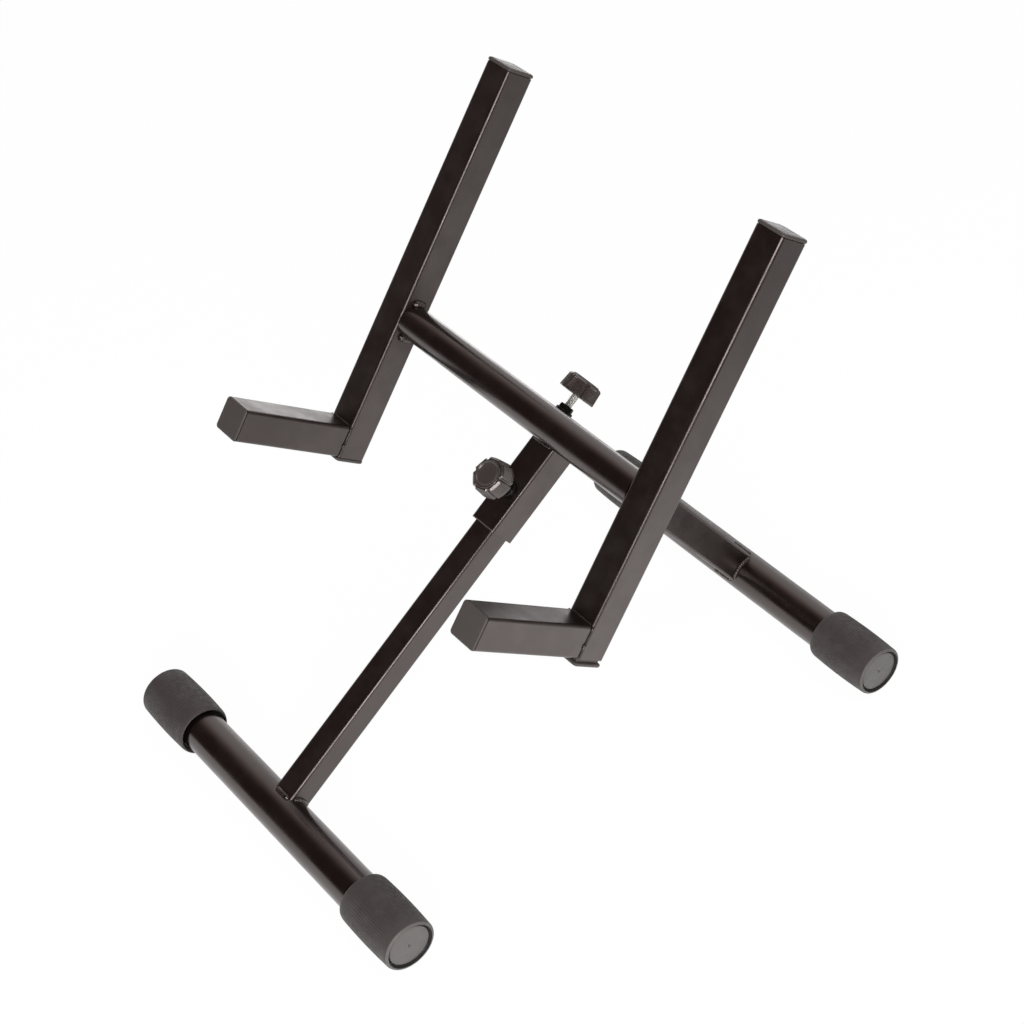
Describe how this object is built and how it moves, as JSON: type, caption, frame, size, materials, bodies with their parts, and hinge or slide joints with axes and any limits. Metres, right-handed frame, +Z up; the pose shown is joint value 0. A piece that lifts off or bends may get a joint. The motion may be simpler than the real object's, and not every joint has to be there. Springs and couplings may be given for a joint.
{
  "type": "amplifier stand",
  "caption": "Low tilt-back floor stand: crossed legs on round foot tubes, telescoping joints with knob clamps, and two square arms with lips that hold an amplifier leaning back.",
  "frame": {"origin": "on the floor, at the middle of the outline seen from above, which is midway between the two foot tubes on the stand's middle plane", "axes": "+Z up; -Y to the front, where the lips point; +X to the right in a view from the front with the lips towards the viewer, which the node names call the right side"},
  "size_m": [0.323, 0.4768, 0.4508],
  "materials": {
    "square_tube_paint": "semi-gloss black paint on square steel tube",
    "round_tube_paint": "gloss black paint on round steel tube",
    "weld_paint": "gloss black paint over rippled weld beads",
    "nut_paint": "black paint on weld nuts, worn at the corners",
    "rubber": "matte charcoal ribbed rubber",
    "cap_plastic": "satin black plastic",
    "knob_plastic": "semi-gloss black plastic",
    "knob_disc": "glossy black plastic",
    "zinc": "bright zinc plate"
  },
  "bodies": {
    "frame": {"rear_leg": "square_tube_paint", "rear_base_tube": "round_tube_paint", "front_sleeve": "square_tube_paint", "upper_weld_nut": "nut_paint", "lower_weld_nut": "nut_paint", "frame_welds": "weld_paint", "rear_foot_left": "rubber", "rear_foot_right": "rubber"},
    "front_leg_unit": {"front_leg": "square_tube_paint", "front_base_tube": "round_tube_paint", "front_leg_weld": "weld_paint", "front_leg_glide": "cap_plastic", "front_foot_left": "rubber", "front_foot_right": "rubber"},
    "support": {"crossbar": "round_tube_paint", "support_stem": "square_tube_paint", "stem_glide": "cap_plastic", "left_arm": "square_tube_paint", "right_arm": "square_tube_paint", "left_lip": "square_tube_paint", "right_lip": "square_tube_paint", "support_welds": "weld_paint", "left_arm_top_cap": "cap_plastic", "left_arm_bottom_cap": "cap_plastic", "right_arm_top_cap": "cap_plastic", "right_arm_bottom_cap": "cap_plastic", "left_lip_plug": "cap_plastic", "right_lip_plug": "cap_plastic"},
    "upper_screw": {"upper_clamp_screw": "zinc"},
    "upper_knob_body": {"upper_knob": "knob_plastic", "upper_knob_disc": "knob_disc"},
    "lower_screw": {"lower_clamp_screw": "zinc"},
    "lower_knob_body": {"lower_knob": "knob_plastic", "lower_knob_disc": "knob_disc"}
  },
  "joints": [
    {"name": "front_leg_slide", "type": "slide", "parent": "frame", "child": "front_leg_unit", "axis": [0, -0.7727, -0.6347], "range_m": [0, 0.03]},
    {"name": "support_slide", "type": "slide", "parent": "frame", "child": "support", "axis": [0, -0.6347, 0.7727], "range_m": [0, 0.07]},
    {"name": "upper_screw_slide", "type": "slide", "parent": "frame", "child": "upper_screw", "axis": [0, 0.7727, 0.6347], "range_m": [0, 0.006]},
    {"name": "upper_knob_turn", "type": "hinge", "parent": "upper_screw", "child": "upper_knob_body", "pos_m": [0, 0.05446, 0.2627], "axis": [0, 0.7727, 0.6347], "range_deg": [0, 2160]},
    {"name": "lower_screw_slide", "type": "slide", "parent": "frame", "child": "lower_screw", "axis": [0, -0.6347, 0.7727], "range_m": [0, 0.006]},
    {"name": "lower_knob_turn", "type": "hinge", "parent": "lower_screw", "child": "lower_knob_body", "pos_m": [0, -0.01657, 0.22156], "axis": [0, -0.6347, 0.7727], "range_deg": [0, 2160]}
  ],
  "couplings": [
    {"joint": "upper_screw_slide", "follows": "upper_knob_turn", "m_per_rad": 0.00015915},
    {"joint": "lower_screw_slide", "follows": "lower_knob_turn", "m_per_rad": 0.00015915}
  ]
}
